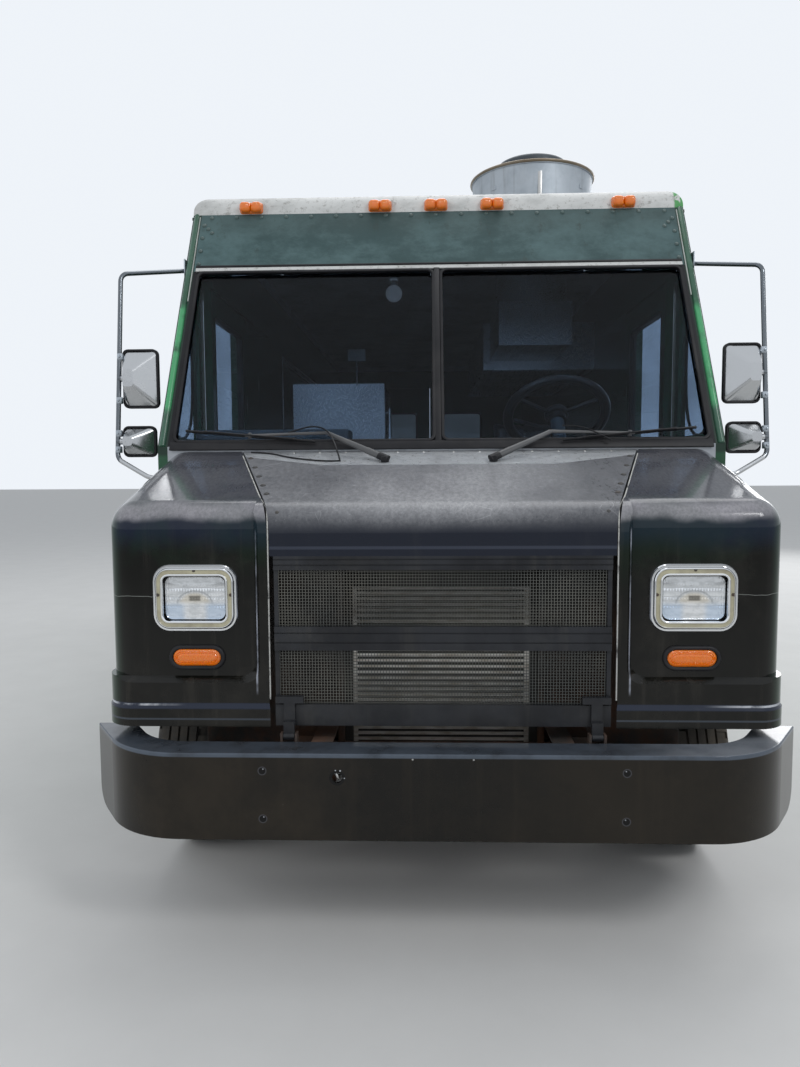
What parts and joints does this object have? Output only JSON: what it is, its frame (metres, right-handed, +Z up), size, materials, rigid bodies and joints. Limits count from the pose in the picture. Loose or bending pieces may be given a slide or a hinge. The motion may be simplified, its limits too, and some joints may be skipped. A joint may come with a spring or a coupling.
{
  "type": "food truck",
  "caption": "Walk-in food truck: flat-sided step van with sloped nose, split windshield, serving hatch, roof exhaust fan and kitchen.",
  "frame": {"origin": "on the ground below the middle of the truck's overall length and width", "axes": "+Z up, +Y towards the rear, +X towards the driver's side"},
  "size_m": [2.752, 7.5, 3.47],
  "materials": {
    "frame_steel": "satin",
    "engine_iron": "matte",
    "tank_aluminium": "satin",
    "exhaust_steel": "matte",
    "cooler_aluminium": "matte",
    "fender_paint": "gloss",
    "hood_paint": "satin",
    "interior_panel": "satin",
    "floor_plate": "matte",
    "body_green": "satin",
    "roof_white": "matte",
    "window_glass": "clear",
    "step_steel": "matte",
    "bumper_black": "gloss",
    "bezel_chrome": "polished",
    "lamp_glass": "clear",
    "grommet_rubber": "matte",
    "amber_lens": "gloss",
    "red_lens": "gloss",
    "mirror_chrome": "polished",
    "wiper_black": "satin",
    "fan_aluminium": "satin",
    "fan_blades": "satin",
    "dash_grey": "matte",
    "seat_steel": "satin",
    "seat_vinyl": "satin",
    "kitchen_steel": "brushed",
    "grille_black": "satin",
    "wheel_plastic": "satin",
    "knuckle_iron": "matte",
    "tyre_rubber": "matte",
    "rim_paint": "satin"
  },
  "bodies": {
    "truck_body": {"chassis_frame": "frame_steel", "front_axle": "frame_steel", "rear_axle": "frame_steel", "leaf_springs": "frame_steel", "power_train": "engine_iron", "fuel_tank": "tank_aluminium", "exhaust_system": "exhaust_steel", "cooling_pack": "cooler_aluminium", "fender_left": "fender_paint", "fender_right": "fender_paint", "firewall": "interior_panel", "floor": "floor_plate", "side_wall_left": "body_green", "side_wall_right": "body_green", "roof": "roof_white", "windshield_frame": "body_green", "cab_glass": "window_glass", "rear_frame": "body_green", "rear_step": "step_steel", "front_bumper": "bumper_black", "headlamp_bezels": "bezel_chrome", "headlamp_lenses": "lamp_glass", "lamp_grommets": "grommet_rubber", "signal_lamps": "amber_lens", "tail_lamps": "red_lens", "mirrors": "mirror_chrome", "wipers": "wiper_black", "exhaust_fan": "fan_aluminium", "dashboard": "dash_grey", "seat_pedestal": "seat_steel", "seat_cushions": "seat_vinyl", "kitchen_units": "kitchen_steel", "kitchen_hood": "kitchen_steel"},
    "hood": {"hood": "hood_paint", "grille": "grille_black"},
    "fan_wheel": {"fan_wheel": "fan_blades"},
    "steering_wheel": {"steering_wheel": "wheel_plastic"},
    "tie_rod": {"tie_rod": "knuckle_iron"},
    "serving_hatch": {"serving_hatch": "body_green"},
    "knuckle_left": {"knuckle_left": "knuckle_iron"},
    "front_wheel_left": {"front_tyre_left": "tyre_rubber", "front_rim_left": "rim_paint"},
    "rear_wheels_left": {"rear_tyres_left": "tyre_rubber", "rear_rims_left": "rim_paint"},
    "cab_door_left": {"cab_door_left": "body_green", "door_glass_left": "window_glass"},
    "rear_door_left": {"rear_door_left": "body_green", "rear_door_glass_left": "window_glass"},
    "knuckle_right": {"knuckle_right": "knuckle_iron"},
    "front_wheel_right": {"front_tyre_right": "tyre_rubber", "front_rim_right": "rim_paint"},
    "rear_wheels_right": {"rear_tyres_right": "tyre_rubber", "rear_rims_right": "rim_paint"},
    "cab_door_right": {"cab_door_right": "body_green", "door_glass_right": "window_glass"},
    "rear_door_right": {"rear_door_right": "body_green", "rear_door_glass_right": "window_glass"}
  },
  "joints": [
    {"name": "steer_left", "type": "hinge", "parent": "truck_body", "child": "knuckle_left", "pos_m": [0.88, -2.8, 0.403], "axis": [0, 0, 1], "range_deg": [-35, 35]},
    {"name": "front_wheel_spin_left", "type": "hinge", "parent": "knuckle_left", "child": "front_wheel_left", "pos_m": [1, -2.8, 0.403], "axis": [1, 0, 0], "continuous": true},
    {"name": "rear_wheels_spin_left", "type": "hinge", "parent": "truck_body", "child": "rear_wheels_left", "pos_m": [0.9, 1.72, 0.403], "axis": [1, 0, 0], "continuous": true},
    {"name": "cab_door_slide_left", "type": "slide", "parent": "truck_body", "child": "cab_door_left", "axis": [0, 1, 0], "range_m": [0, 0.64]},
    {"name": "rear_door_swing_left", "type": "hinge", "parent": "truck_body", "child": "rear_door_left", "pos_m": [0.82, 3.553, 1.7], "axis": [0, 0, -1], "range_deg": [0, 160]},
    {"name": "steer_right", "type": "hinge", "parent": "truck_body", "child": "knuckle_right", "pos_m": [-0.88, -2.8, 0.403], "axis": [0, 0, 1], "range_deg": [-35, 35]},
    {"name": "front_wheel_spin_right", "type": "hinge", "parent": "knuckle_right", "child": "front_wheel_right", "pos_m": [-1, -2.8, 0.403], "axis": [1, 0, 0], "continuous": true},
    {"name": "rear_wheels_spin_right", "type": "hinge", "parent": "truck_body", "child": "rear_wheels_right", "pos_m": [-0.9, 1.72, 0.403], "axis": [1, 0, 0], "continuous": true},
    {"name": "cab_door_slide_right", "type": "slide", "parent": "truck_body", "child": "cab_door_right", "axis": [0, 1, 0], "range_m": [0, 0.64]},
    {"name": "rear_door_swing_right", "type": "hinge", "parent": "truck_body", "child": "rear_door_right", "pos_m": [-0.82, 3.553, 1.7], "axis": [0, 0, 1], "range_deg": [0, 160]},
    {"name": "tie_rod_pivot", "type": "hinge", "parent": "knuckle_right", "child": "tie_rod", "pos_m": [-0.88, -2.62, 0.335], "axis": [0, 0, 1], "range_deg": [-35, 35]},
    {"name": "steering_wheel_turn", "type": "hinge", "parent": "truck_body", "child": "steering_wheel", "pos_m": [0.55, -2.47, 1.835], "axis": [0, 0.6428, 0.766], "range_deg": [-500, 500]},
    {"name": "hood_tilt", "type": "hinge", "parent": "truck_body", "child": "hood", "pos_m": [0, -3.622, 0.712], "axis": [1, 0, 0], "range_deg": [0, 50]},
    {"name": "hatch_lift", "type": "hinge", "parent": "truck_body", "child": "serving_hatch", "pos_m": [-1.162, 0.7, 2.492], "axis": [0, 1, 0], "range_deg": [0, 90]},
    {"name": "fan_spin", "type": "hinge", "parent": "truck_body", "child": "fan_wheel", "pos_m": [0.612, -1.086, 3.1], "axis": [0, 0, 1], "continuous": true}
  ],
  "couplings": [
    {"joint": "steer_right", "follows": "steer_left", "ratio": 1},
    {"joint": "tie_rod_pivot", "follows": "steer_left", "ratio": -1},
    {"joint": "steering_wheel_turn", "follows": "steer_left", "ratio": 14.2}
  ]
}
